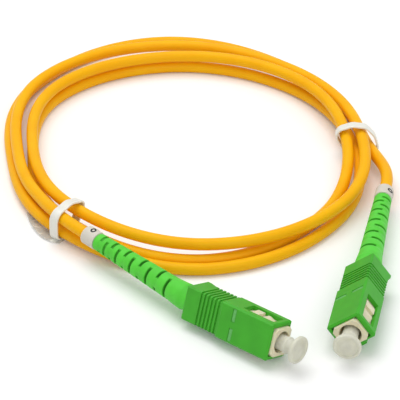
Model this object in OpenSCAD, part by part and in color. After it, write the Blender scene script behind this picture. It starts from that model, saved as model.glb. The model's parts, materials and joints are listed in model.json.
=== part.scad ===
// Fibre optic patch cord, SC/APC to SC/APC, simplex: a coiled 3 mm cord with a connector at each end.
// Millimetres, Z up. It lies on the plane z = 0, with the two connectors in front of the coil.

/* [Cord] */
// outside diameter of the cord
cable_d = 3; // [2:0.1:3]
// diameter of the coil, from side to side between the middles of the cord
coil_d = 92; // [84:1:110]
// width of the strap of each tie, along the cord
tie_band = 2.5; // [1.2:0.1:3]
// thickness of the strap of each tie
tie_thick = 0.6; // [0.4:0.05:0.6]

/* [Grip] */
// length of the green outer grip
grip_len = 25.7; // [25:0.1:32]
// width of the grip, between its two narrow faces
grip_w = 9; // [8.8:0.1:10.8]
// thickness of the grip, between its two wide faces
grip_t = 7.4; // [7.3:0.1:9]
// number of finger grooves around the grip
groove_count = 6; // [3:1:6]
// length of each latch window, along the grip
window_len = 8.7; // [7.6:0.1:8.9]
// width of each latch window
window_w = 4; // [3.6:0.1:4.6]

/* [Plug] */
// width of the ivory plug frame, between its latch faces
frame_w = 6.8; // [6.6:0.1:6.8]
// thickness of the plug frame
frame_t = 5.9; // [5.7:0.1:5.9]
// diameter of the ceramic ferrule
ferrule_d = 2.5; // [2.48:0.005:2.5]
// slant of the ferrule's polished end
tip_angle = 8; // [0:1:9]
// diameter of the spring's wire
spring_wire = 0.45; // [0.35:0.05:0.5]
// number of curls in the spring
spring_curls = 6; // [4:1:7]

/* [Boot] */
// length of the boot behind the grip
boot_len = 32; // [24:0.5:33]
// diameter of the boot behind its flared collar
boot_d = 6; // [5.6:0.1:6.1]
// diameter of the boot at its tip
boot_tip_d = 4.3; // [4.1:0.1:5]
// number of rows of slots along the boot
slot_rows = 10; // [5:1:10]
// width of each slot
slot_w = 0.65; // [0.4:0.05:0.8]

/* [Dust cap] */
// diameter of the cap's end disc
cap_d = 6.6; // [5.8:0.1:7.4]
// thickness of the cap's end disc
cap_disc = 1.1; // [0.8:0.1:1.6]

/* [Marker sleeve] */
// length of the white sleeve behind each boot
marker_len = 4; // [3:0.5:5]
// outside diameter of the sleeve
marker_d = 4.6; // [4.2:0.1:5.2]

/* [Part to show] */
// which sub-part to draw

/* [Hidden] */

green = "#3fb84a";
ivory = "#e6e4d6";
clear = "#dfe3e0";
steel = "#b9bcc0";
brass = "#c9b37a";
zirconia = "#f4f3ee";
yellow = "#f5b21a";
white = "#f2f2f0";
aramid = "#e3cf8a";

$fn = 64;

// Every connector is drawn standing on the line of its own ferrule: Z forward, with z = 0 the
// grip's front face, X towards one narrow face, +Y the wide face without the key.
// Where each connector lies: its front face's centre, then turn, rise and roll of its line.
a_pos = [7.1, -26.9, 5.77];
a_turn = -40.3;
a_rise = 1;
a_roll = 70;
b_pos = [23.6, -23.6, 5.77];
b_turn = -101.7;
b_rise = 0;
b_roll = 37;
// how far each boot bends away from its connector's line, about the line's X and Y
a_bend = [-3.3, -4.9];
b_bend = [-0.2, 1.9];

// along the connector's line
frame_front = 0.8;
frame_bore_end = -3.6;
frame_stop_end = -4.8;
frame_neck = -13.5;
frame_rear = -19;
rear_half = frame_t / 2 - 0.3;
flange_rear = -20.3;
barrel_rear = -25;
boot_step = 1.7 - grip_len;
knee = -grip_len - 2.1;
ferrule_tip = 3;
ferrule_rear = ferrule_tip - 10.5;
collar_front = frame_stop_end - 0.05;
collar_rear = -7.4;
stem_rear = -12;
spring_rear = -13.6;
cavity_rear = flange_rear - 0.3;
step_z = 0.572 * grip_len;
groove_z = 0.615 * grip_len;
groove_pitch = 0.0412 * grip_len;
inset = 0.3;

// ---------- the cord's way ----------
coil_middle = [-15.8, 16.7 + coil_d / 2, 0];
coil_start = 232;
lane_scale = cable_d / 3;
// Each stop of the coil, an eighth of a turn after the one before, going clockwise from the left
// tie: its distance outside the coil's radius, and the height of the cord's middle. The first and
// the last stops only guide the ends.
stops = [
    [5, 7],
    [0.9, 6], [-3.8, 4.9], [1.8, 5.2], [4.6, 3.9], [0.2, 4.9], [0, 6], [5.2, 5.3], [4, 5.2],
    [-2.8, 6], [-7.8, 5], [-3.8, 5], [-3.6, 5], [-3.7, 5.7], [-3.8, 6], [0.8, 1.5], [5.4, 1.5],
    [-1, 2.5], [-7.7, 1.5], [-3.9, 1.5], [-3.2, 1.5], [-3.3, 1.5], [-2, 2.5], [5.2, 1.5], [9.2, 1.5],
    [2.8, 2.5], [-2.4, 1.5], [4.9, 1.5], [11, 1.5], [4.6, 1.5], [1.6, 2.5],
    [10, 1.5]
];
rings_per_stop = 3;
coil_last = len(stops) - 3;
// the coil's node runs between these two places; the leads run on from them, through the ties
head_place = 1;
tail_place = coil_last - 2 / rings_per_stop;
// places of the two ties, and the room between a strap and the cords in it
left_tie = -0.05;
right_tie = 5.15;
tie_clear = 0.35;

// a smooth curve through b and c, guided by a and d
function blend(a, b, c, d, t) =
    0.5 * (2 * b + (c - a) * t + (2 * a - 5 * b + 4 * c - d) * t * t
        + (3 * b - a - 3 * c + d) * t * t * t);

// distance from the coil's middle and height at place k, counted in stops from the start
function lane(k, j) =
    let (i = min(floor(k), coil_last - 1), t = k - i)
    blend(stops[i][j], stops[i + 1][j], stops[i + 2][j], stops[i + 3][j], t);

function coil_point(k) =
    let (r = coil_d / 2 + lane(k, 0) * lane_scale, a = coil_start - 45 * k)
    coil_middle + [r * cos(a), r * sin(a), max(lane(k, 1), 1.5) * lane_scale];

coil_path = [for (k = [head_place : 1 / rings_per_stop : tail_place + 0.01]) coil_point(k)];

function unit(v) = v / norm(v);
// the cord's direction at place k
function coil_line(k) = unit(coil_point(k + 0.01) - coil_point(k - 0.01));
coil_head = coil_line(head_place);
coil_tail = coil_line(tail_place);

function turn_x(p, a) = [p[0], p[1] * cos(a) - p[2] * sin(a), p[1] * sin(a) + p[2] * cos(a)];
function turn_y(p, a) = [p[0] * cos(a) + p[2] * sin(a), p[1], p[2] * cos(a) - p[0] * sin(a)];
function turn_z(p, a) = [p[0] * cos(a) - p[1] * sin(a), p[0] * sin(a) + p[1] * cos(a), p[2]];

// a point of a connector's own frame, where the connector lies
function lay(p, pos, turn, rise, roll) =
    pos + turn_z(turn_y(turn_x([p[2], p[0], p[1]], roll), -rise), turn);

// a point on the line of a bent boot, d behind the knee, in the connector's own frame
function behind(d, bend) = [0, 0, knee] + turn_y(turn_x([0, 0, -d], bend[0]), bend[1]);

function a_at(d) = lay(behind(d, a_bend), a_pos, a_turn, a_rise, a_roll);
function b_at(d) = lay(behind(d, b_bend), b_pos, b_turn, b_rise, b_roll);

boot_end = boot_len - 2.1;
marker_front = boot_end + 0.1;
marker_rear = marker_front + marker_len;
lead_front = 25.9 + knee;
straight = cable_d;

function bezier(p, q, r, s, t) =
    p * pow(1 - t, 3) + q * 3 * t * pow(1 - t, 2) + r * 3 * t * t * (1 - t) + s * pow(t, 3);

// lead A leaves its boot, passes the left tie and joins the coil
a_out = a_at(marker_rear + straight);
a_line = unit(a_at(10) - a_at(0));
a_in = coil_point(0.34);
a_reach = norm(a_in - a_out) * 0.35;
lead_a_path = concat(
    [a_at(lead_front), a_at(boot_end), a_at(marker_rear)],
    [
        for (i = [0 : 6])
            bezier(a_out, a_out + a_reach * a_line, a_in - a_reach * coil_line(0.34), a_in, i / 6)
    ],
    [for (k = [0.5 : 0.166 : 0.9]) coil_point(k)],
    [coil_point(head_place)]
);

// lead B leaves its boot, passes the right tie and joins the coil
b_out = b_at(marker_rear + straight);
b_line = unit(b_at(10) - b_at(0));
b_in = coil_point(coil_last);
b_reach = norm(b_in - b_out) * 0.35;
lead_b_path = concat(
    [b_at(lead_front), b_at(boot_end), b_at(marker_rear)],
    [
        for (i = [0 : 7])
            bezier(b_out, b_out + b_reach * b_line, b_in + 1.3 * b_reach * coil_line(coil_last), b_in, i / 7)
    ],
    [for (i = [1 : 3]) coil_point(coil_last - i / 6)],
    [coil_point(tail_place)]
);

// direction of a path at its place i, square to the ring there
function heading(path, i, first, last) =
    i == 0 ? first
    : i == len(path) - 1 ? last
    : unit(unit(path[i + 1] - path[i]) + unit(path[i] - path[i - 1]));

// one unbroken tube along a path, its two end rings square to the given directions
module tube(path, d, sides, first, last) {
    n = len(path);
    rings = [
        for (i = [0 : n - 1])
            let (
                h = heading(path, i, first, last),
                side = unit(cross(h, [0, 0, 1])),
                up = cross(side, h)
            )
            for (j = [0 : sides - 1])
                path[i] + d / 2 * (sin(360 * j / sides) * side - cos(360 * j / sides) * up)
    ];
    walls = [
        for (i = [0 : n - 2])
            for (j = [0 : sides - 1])
                let (a = i * sides + j, b = i * sides + (j + 1) % sides)
                for (half = [0, 1]) half == 0 ? [a, b, b + sides] : [a, b + sides, a + sides]
    ];
    head = [for (j = [0 : sides - 1]) sides - 1 - j];
    tail = [for (j = [0 : sides - 1]) (n - 1) * sides + j];
    polyhedron(rings, concat(walls, [head, tail]), convexity = 10);
}

// least distance between turns of the coil, surface to surface, measured on the tube's points
function turn_gap(path, apart) =
    min([
        for (i = [0 : len(path) - 1 - apart])
            min([for (j = [i + apart : len(path) - 1]) norm(path[i] - path[j])])
    ]) - cable_d;

echo(coil_gap = turn_gap([for (i = [0 : coil_last * 12]) coil_point(i / 12)], 60));
echo(lead_gaps = [
    for (path = [lead_a_path, lead_b_path])
        min([
            for (i = [0 : len(path) - 2])
                for (t = [0 : 0.25 : 1])
                    min([
                        for (k = [1 : 1 / 12 : coil_last - 1])
                            let (p = path[i] * (1 - t) + path[i + 1] * t, d = norm(p - coil_point(k)))
                            // the lead's own neighbour on the coil is left out
                            d > 0.1 && min(norm(p - coil_path[0]), norm(p - coil_path[len(coil_path) - 1])) > 14
                                ? d : 99
                    ])
        ]) - cable_d
]);

// ---------- helpers ----------
// a bar w wide and t thick from z = back to z = front, its long edges cut by c
module bar(w, t, back, front, c) {
    translate([0, 0, back])
        linear_extrude(front - back)
            polygon([
                [c - w / 2, -t / 2], [w / 2 - c, -t / 2], [w / 2, c - t / 2], [w / 2, t / 2 - c],
                [w / 2 - c, t / 2], [c - w / 2, t / 2], [-w / 2, t / 2 - c], [-w / 2, c - t / 2]
            ]);
}

// a round bar from z = back to z = front
module rod(r, back, front) {
    translate([0, 0, back])
        cylinder(h = front - back, r = r);
}

// a round tube from z = back to z = front
module pipe(outer, inner, back, front) {
    difference() {
        rod(outer, back, front);
        rod(inner, back - 1, front + 1);
    }
}

// lays a connector's piece where connector A or B lies
module at_a() {
    translate(a_pos) rotate([0, 0, a_turn]) rotate([0, -a_rise, 0]) rotate([a_roll, 0, 0])
        rotate([90, 0, 90])
            children();
}

module at_b() {
    translate(b_pos) rotate([0, 0, b_turn]) rotate([0, -b_rise, 0]) rotate([b_roll, 0, 0])
        rotate([90, 0, 90])
            children();
}

// turns a piece with the boot about the knee
module bent(bend) {
    translate([0, 0, knee])
        rotate([bend[0], bend[1], 0])
            children();
}

// ---------- one connector's pieces ----------
// front length of the grip, with its front edge cut
module grip_front() {
    w = grip_w / 2;
    t = grip_t / 2;
    intersection() {
        bar(grip_w, grip_t, -step_z - 0.5, 0, 0.45);
        translate([0, 10, 0])
            rotate([90, 0, 0])
                linear_extrude(20)
                    polygon([
                        [-w, -step_z], [inset - w, -step_z - 0.5], [w - inset, -step_z - 0.5],
                        [w, -step_z], [w, -0.35], [w - 0.35, 0], [0.35 - w, 0], [-w, -0.35]
                    ]);
        translate([-10, 0, 0])
            rotate([90, 0, 90])
                linear_extrude(20)
                    polygon([
                        [-t, -step_z], [inset - t, -step_z - 0.5], [t - inset, -step_z - 0.5],
                        [t, -step_z], [t, -0.35], [t - 0.35, 0], [0.35 - t, 0], [-t, -0.35]
                    ]);
    }
}

// slimmer rear of the grip, flared on the key's side
module grip_back() {
    w = grip_w / 2 - inset;
    t = grip_t / 2 - inset;
    intersection() {
        translate([0, 10, 0])
            rotate([90, 0, 0])
                linear_extrude(20)
                    polygon([
                        [-w, -step_z], [-w, 0.4 - grip_len], [0.4 - w, -grip_len],
                        [w - 0.4, -grip_len], [w, 0.4 - grip_len], [w, -step_z]
                    ]);
        translate([-10, 0, 0])
            rotate([90, 0, 90])
                linear_extrude(20)
                    polygon([
                        [t, -step_z], [-t, -step_z], [-t, 3.2 - grip_len],
                        [-t - 1, 0.5 - grip_len], [-t - 0.7, -grip_len],
                        [t - 0.35, -grip_len], [t, 0.4 - grip_len]
                    ]);
        translate([0, 0, -grip_len - 1])
            linear_extrude(grip_len)
                polygon([
                    [0.45 - w, -t - 2], [w - 0.45, -t - 2], [w - 0.45, -t - 1], [w, -t - 0.65],
                    [w, t - 0.35], [w - 0.35, t], [0.35 - w, t], [-w, t - 0.35],
                    [-w, -t - 0.65], [0.45 - w, -t - 1]
                ]);
    }
}

// the green outer grip: a sleeve that slides on the plug frame to latch and unlatch
module grip() {
    difference() {
        union() {
            grip_front();
            grip_back();
            // key that turns the plug the right way round
            translate([-1.2, -grip_t / 2 - 0.9, -8.5])
                cube([2.4, 1.4, 7.9]);
        }
        // room for the plug frame, then for the boot
        translate([-frame_w / 2 - 0.08, -frame_t / 2 - 0.08, frame_neck - 0.3])
            cube([frame_w + 0.16, frame_t + 0.16, 40]);
        translate([-frame_w / 2 - 0.08, -rear_half - 0.08, cavity_rear])
            cube([frame_w + 0.16, 2 * rear_half + 0.16, 20]);
        rod(2.8, -grip_len - 1, cavity_rear + 0.5);
        rod(3.15, -grip_len - 1, boot_step + 1.8);
        // latch windows in both narrow faces
        for (s = [0, 180])
            rotate([0, 0, s])
                translate([frame_w / 2 - 0.5, -window_w / 2, -1.3 - window_len])
                    cube([(grip_w - frame_w) / 2 + 2, window_w, window_len]);
        // finger grooves all round
        for (i = [0 : groove_count - 1])
            translate([0, 0, -groove_z - groove_pitch * i])
                difference() {
                    cube([20, 20, 0.5], center = true);
                    cube([grip_w - 1.3, grip_t - 1.3, 1], center = true);
                }
        // two index marks on the wide face
        for (s = [-1, 1])
            translate([s * 2.4 - 1.6, grip_t / 2 - 0.15, -11.5])
                cube([3.2, 1, 1]);
    }
}

// the ivory plug frame with its latch shoulders
module plug_frame() {
    w = frame_w / 2;
    difference() {
        union() {
            bar(frame_w, frame_t, frame_neck, frame_front, 0.8);
            bar(frame_w, 2 * rear_half, frame_rear, frame_neck + 0.1, 0.6);
            for (s = [0, 180])
                rotate([0, 0, s])
                    translate([0, 1.6, 0])
                        rotate([90, 0, 0])
                            linear_extrude(3.2)
                                polygon([
                                    [w - 0.6, -2.9], [w, -2.9], [w + 0.55, -4.6], [w + 0.55, -5.2],
                                    [w + 0.1, -5.2], [w + 0.1, -6.2], [w + 0.8, -6.2],
                                    [w + 0.8, -8.2], [w - 0.6, -8.2]
                                ]);
        }
        rod(2.5, frame_bore_end, 10);
        rod(1.4, frame_stop_end - 1, 10);
        rod(2.25, frame_rear - 1, frame_stop_end);
        // mouth of the bore, eased
        translate([0, 0, frame_front - 0.3])
            cylinder(h = 0.6, r1 = 2.5, r2 = 2.8);
    }
}

// the ceramic ferrule, its end polished at a slant
module ferrule() {
    difference() {
        union() {
            rod(ferrule_d / 2, ferrule_rear, ferrule_tip - 0.6);
            translate([0, 0, ferrule_tip - 0.6])
                cylinder(h = 0.6, r1 = ferrule_d / 2, r2 = ferrule_d / 2 - 0.35);
        }
        // slanted end, lowest on the key's side
        translate([0, 0, ferrule_tip - 0.12])
            rotate([-tip_angle, 0, 0])
                translate([-3, -3, 0])
                    cube([6, 6, 3]);
        // seat of the coated fibre
        translate([0, 0, ferrule_rear - 0.01])
            cylinder(h = 1.6, r1 = 0.5, r2 = 0.1);
    }
}

// the metal collar that holds the ferrule, with the stem the spring sits on
module ferrule_flange() {
    difference() {
        union() {
            rod(2.18, collar_rear, collar_front);
            rod(1.45, stem_rear, collar_rear + 0.1);
        }
        rod(ferrule_d / 2, ferrule_rear, 0);
        rod(0.5, -9.5, 0);
        rod(0.9, stem_rear - 1, -8.9);
        // notches that keep it from turning
        for (s = [0, 180])
            rotate([0, 0, s])
                translate([1.7, -0.4, collar_front - 1.2])
                    cube([1, 0.8, 2]);
    }
}

// the spring that presses the ferrule forward
module spring() {
    turns = spring_curls;
    r = 1.82;
    low = spring_rear + spring_wire / 2 + 0.05;
    high = collar_rear - spring_wire / 2 - 0.05;
    steps = turns * 8;
    path = [
        for (i = [0 : steps])
            [r * cos(45 * i), r * sin(45 * i), low + (high - low) * i / steps]
    ];
    n = len(path);
    sides = 6;
    rings = [
        for (i = [0 : n - 1])
            let (out = [cos(45 * i), sin(45 * i), 0])
            for (j = [0 : sides - 1])
                path[i] + spring_wire / 2 * (cos(60 * j) * out + sin(60 * j) * [0, 0, 1])
    ];
    walls = [
        for (i = [0 : n - 2])
            for (j = [0 : sides - 1])
                let (a = i * sides + j, b = i * sides + (j + 1) % sides)
                for (half = [0, 1]) half == 0 ? [a, b + sides, b] : [a, a + sides, b + sides]
    ];
    head = [for (j = [0 : sides - 1]) j];
    tail = [for (j = [0 : sides - 1]) (n - 1) * sides + sides - 1 - j];
    polyhedron(rings, concat(walls, [head, tail]), convexity = 10);
}

// the rear body: it closes the frame, backs the spring, and carries the crimp
module rear_body() {
    difference() {
        union() {
            rod(2.2, frame_rear, spring_rear);
            bar(frame_w - 0.4, 2 * rear_half - 0.3, flange_rear, frame_rear, 0.6);
            rod(1.6, barrel_rear, flange_rear + 0.1);
            for (i = [0 : 3])
                rod(1.65, -24.2 + 0.9 * i, -23.7 + 0.9 * i);
        }
        rod(1.05, barrel_rear - 1, spring_rear + 1);
    }
}

module inner_tube() {
    pipe(0.85, 0.52, -23, -8.95);
}

module fibre() {
    rod(0.45, -24.2, ferrule_rear - 0.05);
}

module aramid_yarn() {
    pipe(1.9, 1.7, -25.2, flange_rear - 0.3);
}

module crimp_sleeve() {
    difference() {
        union() {
            rod(2.2, -25.2, flange_rear - 0.2);
            rod(2.27, -21.4, flange_rear - 0.2);
        }
        rod(1.95, -30, 0);
    }
}

// how far behind the knee each row of slots lies; the rows come closer together towards the tip
function slot_place(i) = (4.7 + 3.4 * i - 0.093 * i * i) * boot_end / 29.9;

// one slot on the +Y side, which leaves a thin wall round the cord
module slot() {
    difference() {
        translate([-5, 1.23, -slot_w / 2])
            cube([10, 5, slot_w]);
        rod(cable_d / 2 + 0.35, -1, 1);
    }
}

// the green boot: its neck in the grip's mouth, its flared collar, and its staggered slots
module boot(bend) {
    r = boot_d / 2;
    tip = boot_tip_d / 2;
    difference() {
        union() {
            rod(2.65, boot_step - 0.1, flange_rear - 0.6);
            rod(3.05, knee - 0.3, boot_step);
            bent(bend) {
                translate([0, 0, -boot_end])
                    cylinder(h = boot_end, r1 = tip, r2 = r);
                translate([0, 0, -4])
                    cylinder(h = 4, r1 = r - (r - tip) * 4 / boot_end, r2 = r + 0.25);
            }
        }
        rod(2.35, -25.6, 0);
        bent(bend) {
            rod(cable_d / 2 + 0.12, -boot_end - 1, -25.4 - knee);
            for (i = [0 : slot_rows - 1])
                for (s = [0, 180])
                    rotate([0, 0, s + 90 * (i % 2)])
                        translate([0, 0, -slot_place(i)])
                            slot();
        }
    }
}

// the clear-white cap that keeps the ferrule clean
module dust_cap() {
    top = ferrule_tip + 3.05;
    difference() {
        union() {
            rod(cap_d / 2, top - cap_disc, top);
            rod(1.85, -2, top - cap_disc + 0.1);
            rod(2.05, 2.2, 3);
        }
        rod(ferrule_d / 2 + 0.05, -3, ferrule_tip + 0.9);
    }
}

module marker_sleeve(bend) {
    bent(bend)
        pipe(marker_d / 2, cable_d / 2 + 0.12, -marker_rear, -marker_front);
}

// ---------- the ties ----------
// a strap drawn round the bundle; corners are the middles of its outermost cords, in order
module strap(corners) {
    inner = cable_d / 2 + tie_clear;
    rotate([90, 0, 0])
        translate([0, 0, -tie_band / 2])
            linear_extrude(tie_band)
                difference() {
                    around(corners, inner + tie_thick);
                    around(corners, inner);
                }
}

// the flat shape that lies within r of the figure with the given corners
module around(corners, r) {
    polygon(corners);
    n = len(corners);
    for (i = [0 : n - 1]) {
        p = corners[i];
        q = corners[(i + 1) % n];
        translate(p)
            circle(r = r);
        // stops just short of where it touches the rounds, which keeps the outline clean
        translate(p)
            rotate(atan2(q[1] - p[1], q[0] - p[0]))
                translate([0.01, -r])
                    square([norm(q - p) - 0.02, 2 * r]);
    }
}

// where the cord passes a tie at place k of the coil: distance outside the radius, and height
function passing(k) = [lane(k, 0), lane(k, 1)] * lane_scale;

// ---------- the nodes ----------
module grip_a() color(green) at_a() grip();
module plug_frame_a() color(ivory) at_a() plug_frame();
module ferrule_a() color(zirconia) at_a() ferrule();
module ferrule_flange_a() color(brass) at_a() ferrule_flange();
module spring_a() color(steel) at_a() spring();
module rear_body_a() color(ivory) at_a() rear_body();
module inner_tube_a() color(clear) at_a() inner_tube();
module fibre_a() color(white) at_a() fibre();
module aramid_yarn_a() color(aramid) at_a() aramid_yarn();
module crimp_sleeve_a() color(steel) at_a() crimp_sleeve();
module boot_a() color(green) at_a() boot(a_bend);
module dust_cap_a() color(clear) at_a() dust_cap();
module marker_sleeve_a() color(white) at_a() marker_sleeve(a_bend);

module grip_b() color(green) at_b() grip();
module plug_frame_b() color(ivory) at_b() plug_frame();
module ferrule_b() color(zirconia) at_b() ferrule();
module ferrule_flange_b() color(brass) at_b() ferrule_flange();
module spring_b() color(steel) at_b() spring();
module rear_body_b() color(ivory) at_b() rear_body();
module inner_tube_b() color(clear) at_b() inner_tube();
module fibre_b() color(white) at_b() fibre();
module aramid_yarn_b() color(aramid) at_b() aramid_yarn();
module crimp_sleeve_b() color(steel) at_b() crimp_sleeve();
module boot_b() color(green) at_b() boot(b_bend);
module dust_cap_b() color(clear) at_b() dust_cap();
module marker_sleeve_b() color(white) at_b() marker_sleeve(b_bend);

// the turns of the coil, between the two leads
module cable_coil() {
    color(yellow)
        tube(coil_path, cable_d, 6, coil_head, coil_tail);
}

module cable_lead_a() {
    color(yellow)
        tube(lead_a_path, cable_d, 8, a_line, coil_head);
}

module cable_lead_b() {
    color(yellow)
        tube(lead_b_path, cable_d, 8, b_line, -coil_tail);
}

// the left tie, with the loose end of its strap lying on the ground
module tie_left() {
    color(white)
        translate(coil_middle) {
            rotate([0, 0, coil_start - 45 * left_tie])
                translate([coil_d / 2, 0, 0])
                    strap([
                        passing(left_tie + 24) + [0.2, 0.1], [3.85, 6.9] * lane_scale,
                        passing(left_tie + 8) + [-0.2, 0.1], passing(left_tie + 16) + [-0.2, 0.1]
                    ]);
            rotate([0, 0, coil_start])
                translate([coil_d / 2 - 46, 0, 0])
                    linear_extrude(0.35)
                        polygon([
                            [47.5, 4.2], [51.4, 4.4], [52.4, 0.5], [52.9, -3.7], [52, -7.3],
                            [46.2, -14.8], [44.4, -13], [48.4, -5.5]
                        ]);
        }
}

module tie_right() {
    color(white)
        translate(coil_middle)
            rotate([0, 0, coil_start - 45 * right_tie])
                translate([coil_d / 2, 0, 0])
                    strap([
                        [2.9, 2.6] * lane_scale, passing(right_tie) + [0.2, 0.3],
                        passing(right_tie + 8) + [-0.3, 0.3], passing(right_tie + 16) + [-0.35, 0.1]
                    ]);
}

grip_a();
plug_frame_a();
ferrule_a();
ferrule_flange_a();
spring_a();
rear_body_a();
inner_tube_a();
fibre_a();
aramid_yarn_a();
crimp_sleeve_a();
boot_a();
dust_cap_a();
marker_sleeve_a();
grip_b();
plug_frame_b();
ferrule_b();
ferrule_flange_b();
spring_b();
rear_body_b();
inner_tube_b();
fibre_b();
aramid_yarn_b();
crimp_sleeve_b();
boot_b();
dust_cap_b();
marker_sleeve_b();
cable_coil();
cable_lead_a();
cable_lead_b();
tie_left();
tie_right();
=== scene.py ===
"""Fibre optic patch cord: a coiled 3 mm simplex cord with an angled SC plug at each end."""
import json
import math

import bpy
import numpy as np
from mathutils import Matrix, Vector

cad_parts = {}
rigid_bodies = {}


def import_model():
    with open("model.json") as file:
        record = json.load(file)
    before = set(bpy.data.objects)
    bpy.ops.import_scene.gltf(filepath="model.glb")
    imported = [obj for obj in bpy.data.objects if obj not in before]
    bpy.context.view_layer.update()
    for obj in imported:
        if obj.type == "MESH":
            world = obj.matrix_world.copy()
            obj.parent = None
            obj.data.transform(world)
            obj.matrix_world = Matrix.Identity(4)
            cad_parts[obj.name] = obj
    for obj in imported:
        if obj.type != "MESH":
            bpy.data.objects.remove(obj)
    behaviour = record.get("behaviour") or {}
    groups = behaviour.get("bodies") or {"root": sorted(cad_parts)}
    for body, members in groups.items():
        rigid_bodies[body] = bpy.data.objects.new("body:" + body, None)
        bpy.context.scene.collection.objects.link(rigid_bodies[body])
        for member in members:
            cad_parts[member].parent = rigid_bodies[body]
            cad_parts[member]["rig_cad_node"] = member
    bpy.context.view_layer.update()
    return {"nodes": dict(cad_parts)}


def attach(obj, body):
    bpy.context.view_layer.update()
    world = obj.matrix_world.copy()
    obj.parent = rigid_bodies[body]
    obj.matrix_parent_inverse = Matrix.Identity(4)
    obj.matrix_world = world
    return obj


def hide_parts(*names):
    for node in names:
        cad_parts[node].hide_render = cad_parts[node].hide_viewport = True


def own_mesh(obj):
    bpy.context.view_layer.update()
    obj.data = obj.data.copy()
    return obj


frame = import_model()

bl_info = {
    "name": "Fibre patch cord",
    "version": (1, 0, 0),
    "blender": (4, 5, 0),
    "location": "View3D > Sidebar > Patch cord",
    "description": "Dresses a coiled fibre patch cord: jacket, boots, caps, sleeves, ties, finishes",
    "category": "Object",
}

MM = 0.001
FIXED = "cord_and_plugs"

# Where each plug lies: the middle of its grip's front face in millimetres, the turn, rise and roll
# of its line in degrees, and the two angles by which its boot bends away from that line.
PLUGS = {
    "a": {"place": (7.1, -26.9, 5.77), "turn": -40.3, "rise": 1.0, "roll": 70.0, "bend": (-3.3, -4.9)},
    "b": {"place": (23.6, -23.6, 5.77), "turn": -101.7, "rise": 0.0, "roll": 37.0, "bend": (-0.2, 1.9)},
}

# Along a plug's line, in millimetres behind the grip's front face: the boot's front end inside the
# grip, the knee where the boot bends away and the length that the bend takes, the jacket's end inside
# the boot, the boot's tip, and the marker sleeve close behind it.
BOOT_FRONT = 20.9
KNEE = 27.8
KNEE_LONG = 6
JACKET_FRONT = KNEE + 1
BOOT_END = KNEE + 29.9
SLEEVE_FRONT = BOOT_END + 0.1
SLEEVE_LONG = 4.0
SLEEVE_REAR = SLEEVE_FRONT + SLEEVE_LONG

# Radii in millimetres: the bore that boots and sleeves have for the jacket, and the sleeve's skin.
JACKET_BORE = 1.62
SLEEVE_RADIUS = 2.3

# The coil: its middle, its radius, the angle at which it starts, the lowest height of the cord's
# middle line, and the line's stops, one for each eighth of a turn, as (millimetres outside the
# radius, height). The first and last only guide the ends.
COIL_MIDDLE = (-15.8, 62.7)
COIL_RADIUS = 46.0
COIL_START = 232.0
COIL_LOWEST = 1.5
EIGHTH = 45.0
STOPS = np.array([
    (5, 7),
    (0.9, 6), (-3.8, 4.9), (1.8, 5.2), (4.6, 3.9), (0.2, 4.9), (0, 6), (5.2, 5.3), (4, 5.2),
    (-2.8, 6), (-7.8, 5), (-3.8, 5), (-3.6, 5), (-3.7, 5.7), (-3.8, 6), (0.8, 1.5), (5.4, 1.5),
    (-1, 2.5), (-7.7, 1.5), (-3.9, 1.5), (-3.2, 1.5), (-3.3, 1.5), (-2, 2.5), (5.2, 1.5), (9.2, 1.5),
    (2.8, 2.5), (-2.4, 1.5), (4.9, 1.5), (11, 1.5), (4.6, 1.5), (1.6, 2.5),
    (10, 1.5),
], dtype=float)
COIL_LAST = len(STOPS) - 3

# How far each lead runs straight behind its sleeve, in millimetres, and where lead A meets the coil.
LEAD_STRAIGHT = 3
LEAD_A_JOIN = 0.34

# The ties: their place on the coil, how far their foot leans along the cord, in millimetres, and the
# middles of the bundle's outermost cords in the tie's own plane, as (place on the coil or point,
# shift outwards), counter-clockwise.
TIES = {
    "left": (-0.05, 1.1, [(24, (0.2, 0.1)), ((3.85, 6.9), (0, 0)), (8, (-0.2, 0.1)), (16, (-0.2, 0.1))]),
    "right": (5.15, 0.4, [((2.9, 2.6), (0, 0)), (0, (0.2, 0.3)), (8, (-0.3, 0.3)), (16, (-0.35, 0.1))]),
}

# The straps, in millimetres: thickness, width, and from a cord's skin to the strap's middle.
STRAP_THICK = 0.56
STRAP_WIDE = 2.45
STRAP_OFF = 0.65

# The left tie's loose end: points of its inner and outer edge, in millimetres out from the coil's
# middle and along it, against the cord's run. Then its thickness and height over the table.
LOOSE_INNER = np.array([(47.6, 2.6), (48, 0.4), (48.2, -2), (48.2, -5.2), (46.8, -8.2), (45.2, -11.2)])
LOOSE_OUTER = np.array([(51, 2.4), (51.9, 0.6), (51.9, -2.4), (50.7, -5.9), (48.8, -9.1), (46.3, -12.4)])
LOOSE_THICK = 0.3
LOOSE_HIGH = 0.17

# The springs, in millimetres: their wire's and their coil's radius, the height of their rear seat
# behind the grip's front face, and their length at rest and with the ferrule pressed home.
SPRING_WIRE = 0.22
SPRING_RADIUS = 1.82
SPRING_SEAT = -13.54
SPRING_LONG = 6.08
SPRING_CURLS = 6

# Each index bar lies in a shallow groove of the grip's wide face. In millimetres: half its length
# and width, how far it lies from the face's middle line and behind its front edge, the height of the
# groove's floor, and the bar's own height.
BAR_HALF = (1.55, 0.45)
BAR_ACROSS = 2.4
BAR_BACK = 11.0
BAR_FLOOR = 3.55
BAR_HIGH = 0.1

# The camera: the point that it aims at, in millimetres, and its nearest and farthest sight in metres.
AIM = (-10.8, 40.7, 0)
SIGHT = (0.05, 20.0)


# ---------- colours ----------
def linear(code):
    """Turns an sRGB hex code into linear red, green and blue."""
    parts = [int(code[i:i + 2], 16) / 255 for i in (1, 3, 5)]
    return tuple(c / 12.92 if c <= 0.04045 else ((c + 0.055) / 1.055) ** 2.4 for c in parts)


def shaded(colour, share=1.0):
    """Scales a linear colour, up to full white, and adds full opacity."""
    return (*(min(1.0, c * share) for c in colour[:3]), 1.0)


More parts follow.
